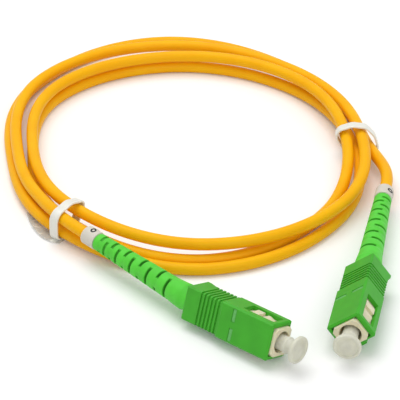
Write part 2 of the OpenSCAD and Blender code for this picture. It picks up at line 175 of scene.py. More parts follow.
# ---------- places ----------
def turned(axis, degrees):
    """Rotation matrix about X, Y or Z."""
    c, s = math.cos(math.radians(degrees)), math.sin(math.radians(degrees))
    i, j = {"x": (1, 2), "y": (2, 0), "z": (0, 1)}[axis]
    made = np.eye(3)
    made[i, i] = made[j, j] = c
    made[j, i], made[i, j] = s, -s
    return made


def laid(points, end):
    """Takes points from a plug's own frame, in millimetres, to where the plug lies, in metres.

    A plug's own frame has Z forwards along its line, X across its wide faces and Y out of one.
    """
    plug = PLUGS[end]
    cycle = np.array([[0, 0, 1], [1, 0, 0], [0, 1, 0]], dtype=float)
    spin = turned("z", plug["turn"]) @ turned("y", -plug["rise"]) @ turned("x", plug["roll"]) @ cycle
    return (np.asarray(points, dtype=float) @ spin.T + plug["place"]) * MM


def smooth_step(x, low, high):
    """Rises from 0 at low to 1 at high along 3t^2 - 2t^3."""
    t = np.clip((np.asarray(x, dtype=float) - low) / (high - low), 0, 1)
    return t * t * (3 - 2 * t)


def along(back, end):
    """Middle points and frames of the plug's line, back millimetres behind the grip's front face.

    The line is straight up to the knee and leaves it in the boot's direction. Over the knee's
    length L the direction passes from one to the other by the curve 3t^2 - 2t^3, and its integral
    L (t^3 - t^4 / 2) gives the middle points.
    """
    back = np.asarray(back, dtype=float)
    bend = PLUGS[end]["bend"]
    t = np.clip((back - KNEE + KNEE_LONG / 2) / KNEE_LONG, 0, 1)
    run = np.where(t < 1, KNEE_LONG * (t ** 3 - t ** 4 / 2), back - KNEE)
    ahead = np.array([0, 0, -1.0])
    bent = turned("y", bend[1]) @ turned("x", bend[0]) @ ahead
    middle = np.outer(back - run, ahead) + np.outer(run, bent)
    frames = [
        turned("y", bend[1] * share) @ turned("x", bend[0] * share) for share in smooth_step(t, 0, 1)]
    return middle, np.array(frames)


# ---------- surfaces ----------
def around(columns):
    """Angles of even steps round a full turn."""
    return 2 * math.pi * np.arange(columns) / columns


def lengths_along(points):
    """Length from the first point of a line to each of its points."""
    return np.concatenate([[0], np.cumsum(np.linalg.norm(np.diff(points, axis=0), axis=1))])


def evened(points, spacing, closed=False):
    """Cuts a line anew into even steps of about the given spacing. A closed line leaves out its end."""
    lengths = lengths_along(points)
    places = np.linspace(0, lengths[-1], int(lengths[-1] / spacing), endpoint=not closed)
    return np.stack([np.interp(places, lengths, values) for values in points.T], -1)


def through(guide, place):
    """The smooth curve through a row of points, at places counted in points from the second.

    From b to c, with a before and d after, it is half of
    2b + (c - a) t + (2a - 5b + 4c - d) t^2 + (3b - a - 3c + d) t^3, so the row's first and last
    points only guide its ends.
    """
    place = np.atleast_1d(np.asarray(place, dtype=float))
    first = np.minimum(np.floor(place).astype(int), len(guide) - 4)
    t = (place - first)[:, None]
    a, b, c, d = (guide[first + i] for i in range(4))
    return 0.5 * (2 * b + (c - a) * t + (2 * a - 5 * b + 4 * c - d) * t ** 2
                  + (3 * b - a - 3 * c + d) * t ** 3)


def skin(name, grid, loop=False):
    """Makes a closed mesh of a grid of points: rows along the piece, columns round it.

    Columns always close on themselves. Rows close on themselves if loop is true, and otherwise
    each end row is closed by one flat face. The UV map holds the share of the way round, and the
    length in metres: along the first column of a loop, and otherwise along the middles of the rows.
    Faces are turned outwards by the sign of the volume about the middle.
    """
    grid = np.asarray(grid, dtype=float)
    rows, columns = grid.shape[:2]
    row = np.arange(rows if loop else rows - 1)[:, None]
    column = np.arange(columns)[None, :]
    here, ahead = row * columns, (row + 1) % rows * columns
    beside = (column + 1) % columns
    quads = np.stack([here + column, here + beside, ahead + beside, ahead + column], -1).reshape(-1, 4)
    # a loop's last row meets its first over 0.1 mm of the map
    length = lengths_along(grid[:, 0] if loop else grid.mean(1))
    length = np.append(length, length[-1] + 0.1 * MM)
    low_u, high_u = (column + 0 * row) / columns, (column + 1 + 0 * row) / columns
    low_v, high_v = length[row] + 0 * low_u, length[row + 1] + 0 * low_u
    uv = np.stack([
        np.stack([low_u, high_u, high_u, low_u], -1), np.stack([low_v, low_v, high_v, high_v], -1),
    ], -1).reshape(-1, 2)
    points = grid.reshape(-1, 3)
    a, b, c, d = (points[quads[:, i]] - points.mean(0) for i in range(4))
    volume = np.einsum("ij,ij->", a, np.cross(b, c) + np.cross(c, d))
    faces = quads.tolist()
    if not loop:
        faces += [list(range(columns))[::-1], list(range((rows - 1) * columns, rows * columns))]
        # the flat ends take a small oval of the map
        angle = around(columns)
        oval = np.stack([0.5 + 0.4 * np.cos(angle), 2 * MM * np.sin(angle)], -1)
        uv = np.concatenate([uv, oval[::-1], oval])
    if volume < 0:
        faces = [face[::-1] for face in faces]
        sides = len(quads) * 4
        uv = np.concatenate([uv[:sides].reshape(-1, 4, 2)[:, ::-1].reshape(-1, 2), uv[sides:]])
    mesh = bpy.data.meshes.new(name)
    mesh.from_pydata(points.tolist(), [], faces)
    mesh.uv_layers.new(name="around").data.foreach_set("uv", uv.ravel())
    mesh.polygons.foreach_set("use_smooth", np.ones(len(faces), dtype=bool))
    mesh.validate()
    # shading breaks only at edges sharper than this
    mesh.set_sharp_from_angle(angle=math.radians(38))
    piece = bpy.data.objects.new(name, mesh)
    bpy.context.scene.collection.objects.link(piece)
    return piece


def rings(middle, frames, radius, columns):
    """Circles about a line: middle + frame (r cos a, r sin a, 0), r given for each row or point."""
    angle = around(columns)
    radius = np.asarray(radius, dtype=float).reshape(len(middle), -1)
    radius = np.broadcast_to(radius, (len(middle), columns))
    flat = np.stack([radius * np.cos(angle), radius * np.sin(angle), 0 * radius], -1)
    return middle[:, None, :] + np.einsum("nij,nmj->nmi", frames, flat)


def swept(name, path, section, upright=(0, 0, 1), closed=False):
    """Carries a section, points (x, y), along a path: point = path + x side + y up.

    side is square to the path and to the upright direction, and up is square to both. upright is
    one direction, or one for each point of the path.
    """
    if closed:
        heading = np.roll(path, -1, 0) - np.roll(path, 1, 0)
    else:
        heading = np.gradient(path, axis=0)
    heading /= np.linalg.norm(heading, axis=1, keepdims=True)
    side = np.cross(heading, upright)
    side /= np.linalg.norm(side, axis=1, keepdims=True)
    up = np.cross(side, heading)
    grid = path[:, None] + section[:, :1] * side[:, None] + section[:, 1:] * up[:, None]
    return skin(name, grid, loop=closed)


def circle_section(radius, columns):
    """A circle that starts at its lowest point."""
    angle = around(columns)
    return radius * np.stack([np.sin(angle), -np.cos(angle)], -1)


def oblong(angle, power):
    """A circle's cosine and sine raised to a power: below 1 they draw it out towards a square."""
    c, s = np.cos(angle), np.sin(angle)
    return np.sign(c) * np.abs(c) ** power, np.sign(s) * np.abs(s) ** power


def strap_section(width, thick, columns=16):
    """A flat strip with round edges: the superellipse of power 5 over width by thickness."""
    x, y = oblong(around(columns), 0.4)
    return np.stack([width / 2 * x, thick / 2 * y], -1)


def finish_piece(piece, body, material, slot, *nodes):
    """Gives a piece its material and its body, and hides the solids that it stands for. Its slot is not
    used.
    """
    piece.data.materials.clear()
    piece.data.materials.append(material)
    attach(piece, body)
    if nodes:
        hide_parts(*nodes)


# ---------- the cord's way ----------
def coil_lane(place):
    """Distance outside the coil's radius and height at places counted in stops, in millimetres."""
    return through(STOPS, place)


def coil_sides(place):
    """The level directions outwards from the coil and along it, against its run, at a place."""
    angle = math.radians(COIL_START - EIGHTH * place)
    out = np.array([math.cos(angle), math.sin(angle), 0])
    return out, np.array([-out[1], out[0], 0])


def beside_coil(place, outward, forward, height):
    """Points in metres, from millimetres outwards from the coil's middle, along the coil and up."""
    directions = (*coil_sides(place), np.array([0, 0, 1]))
    steps = sum(np.multiply.outer(step, way) for step, way in zip((outward, forward, height), directions))
    return MM * (np.array([*COIL_MIDDLE, 0]) + steps)


def coil_point(place):
    """Point of the coil at a place, in metres: the angle falls by an eighth of a turn for each stop."""
    place = np.atleast_1d(np.asarray(place, dtype=float))
    lane = coil_lane(place)
    radius, angle = COIL_RADIUS + lane[:, 0], np.radians(COIL_START - EIGHTH * place)
    return MM * np.stack([
        COIL_MIDDLE[0] + radius * np.cos(angle), COIL_MIDDLE[1] + radius * np.sin(angle),
        np.maximum(lane[:, 1], COIL_LOWEST)], -1)


def coil_line(place):
    """Direction of the coil at a place."""
    step = coil_point(place + 0.01)[0] - coil_point(place - 0.01)[0]
    return step / np.linalg.norm(step)


def boot_point(back, end):
    """Point of a plug's line, in metres."""
    return laid(along([back], end)[0], end)[0]


def bridge(start, leave, end, arrive, count=60):
    """The cubic curve from start to end, with its two guide points given as offsets."""
    t = np.linspace(0, 1, count)[:, None]
    return (start * (1 - t) ** 3 + (start + leave) * 3 * t * (1 - t) ** 2
            + (end + arrive) * 3 * t ** 2 * (1 - t) + end * t ** 3)


def cord_points():
    """The jacket's whole middle line, from inside boot A round the coil to inside boot B, in metres.

    Each lead runs straight on behind its sleeve and then takes one bridge to the coil. The bridge's
    guide points lie off its ends by 0.35 of the distance between them, and for lead B the one at
    the coil by 1.3 times as much. Its sign is that of the cord's run.
    """
    leads = []
    turn_off = SLEEVE_REAR + LEAD_STRAIGHT
    for end, place, pull in (("a", LEAD_A_JOIN, -1.0), ("b", float(COIL_LAST), 1.3)):
        tube = laid(along(np.arange(JACKET_FRONT, turn_off, 0.5), end)[0], end)
        out = boot_point(turn_off, end)
        line = out - boot_point(SLEEVE_REAR, end)
        line /= np.linalg.norm(line)
        join = coil_point(place)[0]
        reach = 0.35 * np.linalg.norm(join - out)
        curve = bridge(out, reach * line, join, pull * reach * coil_line(place))
        leads.append(np.concatenate([tube, curve[:-1]]))
    coil = coil_point(np.linspace(LEAD_A_JOIN, COIL_LAST, 1200))
    return np.concatenate([leads[0], coil, leads[1][::-1]])


# ---------- materials ----------
# The scale of a noise on Object coordinates is given in waves for each millimetre, as 8 / MM.
def add(tree, kind, inputs=(), stops=(), **settings):
    """Adds one shader node and returns it.

    settings are its own options, and stops the places and colours of its ramp. inputs are its
    sockets with their values, or with the outputs that they are linked to: a node stands for its
    first output.
    """
    made = tree.nodes.new("ShaderNode" + kind)
    for option, value in settings.items():
        setattr(made, option, value)
    for socket, value in dict(inputs).items():
        if isinstance(value, bpy.types.Node):
            value = value.outputs[0]
        if isinstance(value, bpy.types.NodeSocket):
            tree.links.new(value, made.inputs[socket])
        else:
            made.inputs[socket].default_value = value
    for i, (position, colour) in enumerate(stops):
        made.color_ramp.elements[i].position = position
        made.color_ramp.elements[i].color = colour
    return made


def fresh(name):
    """Starts a material, and returns it with its empty node tree and its Object coordinates."""
    material = bpy.data.materials.new(name)
    material.use_nodes = True
    tree = material.node_tree
    tree.nodes.clear()
    return material, tree, add(tree, "TexCoord").outputs["Object"]


def done(material, settings):
    """Gives a material its shader with these settings, and returns the material."""
    shader = add(material.node_tree, "BsdfPrincipled", settings)
    add(material.node_tree, "OutputMaterial", {"Surface": shader})
    return material


def clouded(tree, where, waves, detail, colour, low, high):
    """Adds clouds, with so many waves in each millimetre, and a colour that changes over them.

    low and high are the ends of the change: a place on the clouds' own scale from 0 to 1, and the
    share of the colour there.
    """
    cloud = add(tree, "TexNoise", {"Vector": where, "Scale": waves / MM, "Detail": detail})
    stops = [(place, shaded(colour, share)) for place, share in (low, high)]
    return cloud, add(tree, "ValToRGB", {"Fac": cloud}, stops=stops)


def glowing(weight, radius, depth):
    """Settings for light that comes out near where it went in.

    They are the share of such light, how far its red, green and blue go as shares of the depth, and
    the depth in millimetres.
    """
    return {"Subsurface Weight": weight, "Subsurface Radius": radius, "Subsurface Scale": depth * MM}


def moulded_pbt_green(colour):
    """PBT, injection moulded in a lightly spark-eroded tool: an even satin green with a fine grain."""
    material, tree, where = fresh("moulded_pbt_green")
    # a grain of 0.125 mm, drawn coarser than the real 0.03 mm so that it shows, and flow marks 4 mm long
    grain = add(tree, "TexNoise", {"Vector": where, "Scale": 8 / MM, "Detail": 3.0})
    _, shade = clouded(tree, where, 0.26, 2.0, colour, (0.3, 0.93), (0.7, 1.06))
    gloss = add(tree, "MapRange", {"Value": grain, "To Min": 0.34, "To Max": 0.5})
    # the tool's corners are eased by 0.25 mm
    eased = add(tree, "Bevel", {"Radius": 0.25 * MM}, samples=6)
    rough = add(tree, "Bump", {
        "Height": grain, "Normal": eased, "Strength": 0.12, "Distance": 0.02 * MM})
    return done(material, {
        "Base Color": shade, "Roughness": gloss, "Normal": rough,
        "IOR": 1.54, "Specular IOR Level": 0.22,
    } | glowing(0.08, (0.2, 0.6, 0.15), 0.4))


def moulded_pbt_ivory(colour):
    """Natural PBT, injection moulded: ivory, a little see-through at its thin edges."""
    material, tree, where = fresh("moulded_pbt_ivory")
    # clouds 2.5 mm wide, and corners eased by 0.2 mm
    cloud, shade = clouded(tree, where, 0.4, 3.0, colour, (0.35, 0.94), (0.65, 1.0))
    gloss = add(tree, "MapRange", {"Value": cloud, "To Min": 0.3, "To Max": 0.42})
    eased = add(tree, "Bevel", {"Radius": 0.2 * MM}, samples=6)
    return done(material, {
        "Base Color": shade, "Roughness": gloss, "Normal": eased, "IOR": 1.54,
    } | glowing(0.25, (1.0, 0.8, 0.5), 0.6))


def moulded_tpe_green(colour):
    """TPE, injection moulded: the boot's softer, brighter green, with a waxy sheen."""
    material, tree, where = fresh("moulded_tpe_green")
    # a grain of 0.17 mm, coarser than the real 0.05 mm so that it shows, and flow marks 3 mm long
    grain = add(tree, "TexNoise", {"Vector": where, "Scale": 6 / MM, "Detail": 2.0})
    _, shade = clouded(tree, where, 0.32, 2.0, colour, (0.3, 0.92), (0.7, 1.05))
    gloss = add(tree, "MapRange", {"Value": grain, "To Min": 0.42, "To Max": 0.58})
    rough = add(tree, "Bump", {"Height": grain, "Strength": 0.15, "Distance": 0.03 * MM})
    # painted shade: the slots' colour darkens over their first 0.5 mm, standing in for the shade where
    # light hardly reaches their floors
    depth = add(tree, "Attribute", attribute_name="depth").outputs["Fac"]
    painted_slot_shade = add(tree, "MapRange", {"Value": depth, "From Max": 0.5})
    base = add(tree, "MixRGB", {"Fac": painted_slot_shade, "Color1": shade, "Color2": shaded(colour, 0.48)})
    return done(material, {
        "Base Color": base, "Roughness": gloss, "Normal": rough,
        "IOR": 1.5, "Specular IOR Level": 0.22, "Sheen Weight": 0.04, "Sheen Roughness": 0.5,
    } | glowing(0.08, (0.2, 0.7, 0.15), 0.3))


def extruded_pvc_yellow(colour, deep):
    """PVC, extruded: orange-yellow jacket with faint die lines along it and slow waves of shade."""
    material, tree, where = fresh("extruded_pvc_yellow")
    place = add(tree, "UVMap", uv_map="around")
    # 30 die lines round the jacket, which change slowly over 10 mm of its length, waves of shade 8 mm
    # long and a grain of 0.2 mm
    stretch = add(tree, "Mapping", {"Vector": place, "Scale": (30.0, 100.0, 1.0)})
    lines = add(tree, "TexNoise", {"Vector": stretch, "Scale": 1.0, "Detail": 2.0})
    wave = add(tree, "TexNoise", {"Vector": where, "Scale": 0.13 / MM, "Detail": 2.0})
    grain = add(tree, "TexNoise", {"Vector": where, "Scale": 5 / MM, "Detail": 2.0})
    shade = add(tree, "ValToRGB", {"Fac": wave}, stops=((0.3, shaded(deep)), (0.7, shaded(colour))))
    gloss = add(tree, "MapRange", {"Value": grain, "To Min": 0.36, "To Max": 0.5})
    drawn = add(tree, "Bump", {"Height": lines, "Strength": 0.25, "Distance": 0.02 * MM})
    return done(material, {
        "Base Color": shade, "Roughness": gloss, "Normal": drawn,
        "IOR": 1.53, "Specular IOR Level": 0.12,
    } | glowing(0.1, (0.6, 0.4, 0.05), 0.5))


def moulded_ldpe_clear(colour):
    """LDPE, injection moulded: milky, half see-through grey-white with a waxy face."""
    material, tree, where = fresh("moulded_ldpe_clear")
    # clouds 2 mm wide
    cloud, shade = clouded(tree, where, 0.5, 3.0, colour, (0.3, 0.9), (0.7, 1.0))
    gloss = add(tree, "MapRange", {"Value": cloud, "To Min": 0.34, "To Max": 0.5})
    return done(material, {
        "Base Color": shade, "Roughness": gloss, "IOR": 1.51,
        "Transmission Weight": 0.15, "Specular IOR Level": 0.35,
    } | glowing(0.5, (1.0, 1.0, 0.9), 1.0))


def moulded_nylon_white(colour):
    """Nylon 66, injection moulded: milky white strap with a soft gloss and fine lines along it."""
    material, tree, _ = fresh("moulded_nylon_white")
    place = add(tree, "UVMap", uv_map="around")
    # 14 lines round the strap, which change slowly over 7 mm of its length
    stretch = add(tree, "Mapping", {"Vector": place, "Scale": (14.0, 150.0, 1.0)})
    lines = add(tree, "TexNoise", {"Vector": stretch, "Scale": 1.0, "Detail": 2.0})
    shade = add(tree, "ValToRGB", {"Fac": lines},
                stops=((0.0, shaded(colour, 0.9)), (1.0, shaded(colour))))
    gloss = add(tree, "MapRange", {"Value": lines, "To Min": 0.28, "To Max": 0.4})
    ribbed = add(tree, "Bump", {"Height": lines, "Strength": 0.2, "Distance": 0.03 * MM})
    return done(material, {
        "Base Color": shade, "Roughness": gloss, "Normal": ribbed, "IOR": 1.53,
    } | glowing(0.35, (1.0, 1.0, 0.9), 0.7))


def pressed_film_clear(colour):
    """Polypropylene strip: thin, clear and softly wrinkled, milkier where it is creased."""
    material, tree, where = fresh("pressed_film_clear")
    # long soft wrinkles about 5 mm apart
    wrinkle = add(tree, "TexNoise", {
        "Vector": where, "Scale": 0.19 / MM, "Detail": 2.0, "Distortion": 1.4})
    crease = add(tree, "MapRange", {"Value": wrinkle, "From Min": 0.52, "From Max": 0.68})
    milky = add(tree, "ValToRGB", {"Fac": crease},
                stops=((0.0, shaded(colour, 0.72)), (1.0, shaded(colour, 1.1))))
    bent = add(tree, "Bump", {"Height": wrinkle, "Strength": 0.6, "Distance": 0.6 * MM})
    clear = add(tree, "MapRange", {"Value": crease, "To Min": 0.55, "To Max": 0.85})
    # a faint painted glow, a small white emission, stands in for the light that comes through from behind
    return done(material, {
        "Base Color": milky, "Roughness": 0.2, "Normal": bent, "IOR": 1.49, "Alpha": clear,
        "Emission Color": (1, 1, 1, 1), "Emission Strength": 0.03})


def shrunk_polyolefin_white(colour):
    """Polyolefin sleeve, shrunk on: matt white, slightly uneven."""
    material, tree, where = fresh("shrunk_polyolefin_white")
    # unevenness 1.7 mm wide
    cloud, shade = clouded(tree, where, 0.6, 3.0, colour, (0.0, 0.9), (1.0, 1.0))
    rough = add(tree, "Bump", {"Height": cloud, "Strength": 0.15, "Distance": 0.03 * MM})
    return done(material, {
        "Base Color": shade, "Roughness": 0.55, "Normal": rough, "IOR": 1.5,
    } | glowing(0.15, (1.0, 1.0, 0.9), 0.5))


def printed_ink(name, colour):
    """Pad-printed ink: a thin, matt layer, slightly thinner in specks."""
    material, tree, where = fresh(name)
    # specks of 0.3 mm, coarser than the real 0.1 mm so that they show
    _, shade = clouded(tree, where, 3, 3.0, colour, (0.3, 0.8), (0.6, 1.0))
    return done(material, {"Base Color": shade, "Roughness": 0.6, "IOR": 1.5})


def polished_zirconia(colour):
    """Zirconia, ground and polished: dense white ceramic with a hard gloss."""
    material, tree, where = fresh("polished_zirconia")
    # polishing haze 1.1 mm wide, and corners eased by 0.15 mm
    haze = add(tree, "TexNoise", {"Vector": where, "Scale": 0.9 / MM, "Detail": 2.0})
    gloss = add(tree, "MapRange", {"Value": haze, "To Min": 0.06, "To Max": 0.14})
    eased = add(tree, "Bevel", {"Radius": 0.15 * MM}, samples=6)
    return done(material, {
        "Base Color": shaded(colour), "Roughness": gloss, "Normal": eased, "IOR": 2.1,
    } | glowing(0.2, (0.6, 0.6, 0.5), 0.4))


def turned_metal(name, colour, rough_low, rough_high):
    """A small metal part from the lathe or the press: fine haze with faint specks."""
    material, tree, where = fresh(name)
    # specks of 0.4 mm, coarser than real tool marks so that they show, and corners eased by 0.12 mm
    haze, shade = clouded(tree, where, 2.5, 3.0, colour, (0.0, 0.85), (1.0, 1.0))
    gloss = add(tree, "MapRange", {"Value": haze, "To Min": rough_low, "To Max": rough_high})
    eased = add(tree, "Bevel", {"Radius": 0.12 * MM}, samples=4)
    return done(material, {
        "Base Color": shade, "Metallic": 1.0, "Roughness": gloss, "Normal": eased})


def spun_aramid(colour):
    """Aramid yarn: golden filaments that run along the cord, with a silky sheen."""
    material, tree, where = fresh("spun_aramid")
    # bundles 0.25 mm wide, as single filaments are too fine to show
    _, shade = clouded(tree, where, 4, 3.0, colour, (0.0, 0.6), (1.0, 1.0))
    return done(material, {
        "Base Color": shade, "Roughness": 0.5, "Sheen Weight": 0.4, "Sheen Roughness": 0.4})


def white_table(level, bounce, lift):
    """Matt white table.

    The camera sees it at full level, lifted a little so that only real shadows show, and so do
    gloss and clear plastic. It throws less light back at the cord than it shows.
    """
    material, tree, where = fresh("white_table")
    # a faint tooth of 1.1 mm
    path = add(tree, "LightPath").outputs
    seen = path["Is Camera Ray"]
    for ray in ("Is Glossy Ray", "Is Transmission Ray"):
        seen = add(tree, "Math", {0: seen, 1: path[ray]}, operation="MAXIMUM")
    tooth = add(tree, "TexNoise", {"Vector": where, "Scale": 0.9 / MM, "Detail": 2.0})
    pale = add(tree, "MapRange", {"Value": tooth, "To Min": level * 0.995, "To Max": level})
    shade = add(tree, "MapRange", {"Value": seen, "To Min": bounce, "To Max": pale})
    white = add(tree, "CombineColor", {channel: shade for channel in range(3)})
    plain = add(tree, "BsdfDiffuse", {"Color": white})
    raised = add(tree, "Math", {0: seen, 1: lift}, operation="MULTIPLY")
    glow = add(tree, "Emission", {"Color": (1, 1, 1, 1), "Strength": raised})
    add(tree, "OutputMaterial", {"Surface": add(tree, "AddShader", {0: plain, 1: glow})})
    return material


# ---------- settings ----------
def colour_of(name, what, code):
    """A colour property that starts at an sRGB hex code."""
    return bpy.props.FloatVectorProperty(
        name=name, description=f"Colour of {what}", size=3, subtype="COLOR",
        default=linear(code), min=0, max=1)


def size_of(name, description, value, low, high):
    """A length property that starts at a value and stays in a range, all in millimetres."""
    return bpy.props.FloatProperty(
        name=name, description=description, subtype="DISTANCE", unit="LENGTH",
        default=value * MM, min=low * MM, max=high * MM)


def amount_of(name, description, value, high, **kind):
    """A number property that starts at a value and goes from 0 to high."""
    return bpy.props.FloatProperty(
        name=name, description=description, default=value, min=0, max=high, **kind)


class CordSettings(bpy.types.PropertyGroup):
    """Sizes and colours of the cord and what lies on it."""

    diameter: size_of("Cord diameter", "Outside diameter of the jacket", 3.0, 2.0, 3.0)
    sides: bpy.props.IntProperty(
        name="Sides", description="Faces round the jacket", default=20, min=12, max=32)
    jacket: colour_of("Jacket", "the jacket where it is lightest", "#fdbd0c")
    jacket_deep: colour_of("Jacket, deep", "the jacket where it is deepest", "#fbb406")
    sleeve: colour_of("Sleeve", "the marker sleeves", "#ddd7ca")
    ink: colour_of("Ink", "the sleeves' printed numeral", "#1c1c1f")
    tie: colour_of("Ties", "the ties", "#f1f1e8")
    film: colour_of("Loose end", "the left tie's clear loose end", "#f3f2ea")


class PlugSettings(bpy.types.PropertyGroup):
    """Sizes and colours of the plugs, boots and dust caps."""

    grip: colour_of("Grip", "the outer grips", "#44ae2a")
    boot: colour_of("Boot", "the boots", "#5bd640")
    frame: colour_of("Plug frame", "the plug frames", "#ede4c3")
    cap: colour_of("Dust cap", "the dust caps", "#e9e8d6")
    mark: colour_of("Index marks", "the two bars on each grip", "#66be60")
    boot_wide: size_of("Boot diameter", "Diameter of the boot behind the grip", 6.0, 5.6, 6.1)
    boot_tip: size_of("Boot tip", "Diameter of the boot at its tip", 4.3, 4.1, 5.0)
    cap_width: size_of("Cap disc", "Diameter of the dust cap's end disc", 6.6, 5.6, 7.4)


class StageSettings(bpy.types.PropertyGroup):
    """Table, camera and light."""

    table: amount_of("Table", "How pale the table is", 0.97, 1, subtype="FACTOR")
    bounce: amount_of(
        "Bounce", "Share of light that the table throws back at the cord", 0.8, 1, subtype="FACTOR")
    lift: amount_of("Lift", "Light added to the table as the camera sees it", 0.06, 1)
    lens: bpy.props.FloatProperty(
        name="Lens", description="Focal length of the camera, in millimetres",
        default=214.3, min=50, max=400)
    away: size_of("Away", "Distance of the camera", 600, 300, 3000)
    rise: amount_of("Rise", "Height of the view over the table", math.radians(33), math.pi / 2,
                    subtype="ANGLE", unit="ROTATION")
    key: amount_of("Key light", "Power of the lamp over the cord, in watts", 4.2, 100)
    fill: amount_of("Fill light", "Power of the lamp in front, in watts", 1.89, 100)
    sky: amount_of("Sky", "Strength of the even light from all round", 0.6, 3)


# ---------- pieces ----------
class CORD_OT_camera(bpy.types.Operator):
    """Places the camera in front of the plugs, looking down at the table"""
    bl_idname = "cord.camera"
    bl_label = "Camera"

    def execute(self, context):
        stage = context.scene.cord_stage
        data = bpy.data.cameras.new("camera")
        data.sensor_width, data.lens = 36.0, stage.lens
        data.clip_start, data.clip_end = SIGHT
        camera = bpy.data.objects.new("camera", data)
        context.scene.collection.objects.link(camera)
        rise = stage.rise
        camera.location = Vector(AIM) * MM + stage.away * Vector((0, -math.cos(rise), math.sin(rise)))
        camera.rotation_euler = (math.pi / 2 - rise, 0, 0)
        context.scene.camera = camera
        return {"FINISHED"}


class CORD_OT_jacket(bpy.types.Operator):
    """Lays the jacket from boot A round the coil to boot B"""
    bl_idname = "cord.jacket"
    bl_label = "Jacket"

    def execute(self, context):
        cord = context.scene.cord_sizes
        path = evened(cord_points(), 0.8 * MM)
        piece = swept("jacket", path, circle_section(cord.diameter / 2, cord.sides))
        yellow = extruded_pvc_yellow(cord.jacket, cord.jacket_deep)
        finish_piece(piece, FIXED, yellow, "yellow_jacket", "cable_coil", "cable_lead_a", "cable_lead_b")
        return {"FINISHED"}


class CORD_OT_sleeves(bpy.types.Operator):
    """Slips a white marker sleeve with its printed numeral over the jacket behind each boot"""
    bl_idname = "cord.sleeves"
    bl_label = "Marker sleeves"

    def execute(self, context):
        cord = context.scene.cord_sizes
        white, ink = shrunk_polyolefin_white(cord.sleeve), printed_ink("printed_ink_dark", cord.ink)
        # the eased edge, as (distance from the sleeve's end, how far below its skin)
        edge, drop = np.array([(0, 0.2), (0.04, 0.1), (0.15, 0.03), (0.35, 0)]).T
        # outside from front to rear, then back along the bore
        inside = np.linspace(SLEEVE_LONG, 0, 5)
        back = SLEEVE_FRONT + np.concatenate([edge, inside[3:0:-1], SLEEVE_LONG - edge[::-1], inside])
        radius = np.concatenate([SLEEVE_RADIUS - drop, np.full(3, SLEEVE_RADIUS),
                                 SLEEVE_RADIUS - drop[::-1], np.full(5, JACKET_BORE)])
        for end, turn in (("a", 18.0), ("b", 10.0)):
            grid = rings(*along(back, end), radius, 48)
            piece = skin(f"marker_sleeve_{end}_shell", laid(grid, end), loop=True)
            finish_piece(piece, FIXED, white, "marker_plastic", f"marker_sleeve_{end}")
            mark = numeral(f"marker_sleeve_{end}_numeral", end, turn)
            finish_piece(mark, FIXED, ink, "marker_plastic")
        return {"FINISHED"}


def numeral(name, end, turn):
    """The numeral 6, printed round the sleeve, its bowl turn degrees round from the plug's X.

    Its tail is a quarter of the ellipse 0.85 by 2 mm, which runs into the bowl, the ellipse 0.5 by
    0.6 mm. Both are laid on the sleeve's skin as a line 0.42 mm wide and 0.04 mm thick.
    """
    tail, bowl = np.linspace(0, math.pi / 2, 18), np.linspace(0, 2 * math.pi, 49)[1:]
    across = np.concatenate([0.35 - 0.85 * np.sin(tail), -0.5 * np.cos(bowl)])
    rise = np.concatenate([2.0 * np.cos(tail), -0.6 * np.sin(bowl)])
    angle = math.radians(turn) - rise / SLEEVE_RADIUS
    # the bowl's middle is 1.8 mm behind the sleeve's front
    middle, frames = along(SLEEVE_FRONT + 1.8 - across, end)
    outward = np.einsum("nij,nj->ni", frames, np.stack([np.cos(angle), np.sin(angle), 0 * angle], -1))
    path = laid(middle + SLEEVE_RADIUS * outward, end)
    upright = laid(middle + (SLEEVE_RADIUS + 1) * outward, end) - path
    return swept(name, path, strap_section(0.42 * MM, 0.04 * MM), upright=upright)


class CORD_OT_ties(bpy.types.Operator):
    """Straps the coil with a tie on each side, the left one with its loose end"""
    bl_idname = "cord.ties"
    bl_label = "Ties"

    def execute(self, context):
        cord = context.scene.cord_sizes
        nylon = moulded_nylon_white(cord.tie)
        for side in TIES:
            piece = strap(f"tie_{side}_strap", side, cord.diameter / MM / 2)
            finish_piece(piece, FIXED, nylon, "tie_plastic", f"tie_{side}")
        tail = loose_end("tie_left_loose_end")
        finish_piece(tail, FIXED, pressed_film_clear(cord.film), "tie_plastic")
        return {"FINISHED"}


def strap(name, side, cord_radius):
    """A tie's strap, drawn round the coil in the plane that crosses it at the tie's place.

    Its foot leans along the coil: at the height h the strap is shifted by lean (1 - h / top).
    """
    place, lean, bundle = TIES[side]
    corners = np.array([
        (coil_lane(place + at)[0] if np.ndim(at) == 0 else np.array(at)) + shift for at, shift in bundle])
    outward, height = drawn_round(corners, cord_radius + STRAP_OFF).T
    path = beside_coil(place, COIL_RADIUS + outward, -lean * (1 - height / height.max()), height)
    section = strap_section(STRAP_THICK * MM, STRAP_WIDE * MM)
    return swept(name, path, section, upright=coil_sides(place)[1], closed=True)


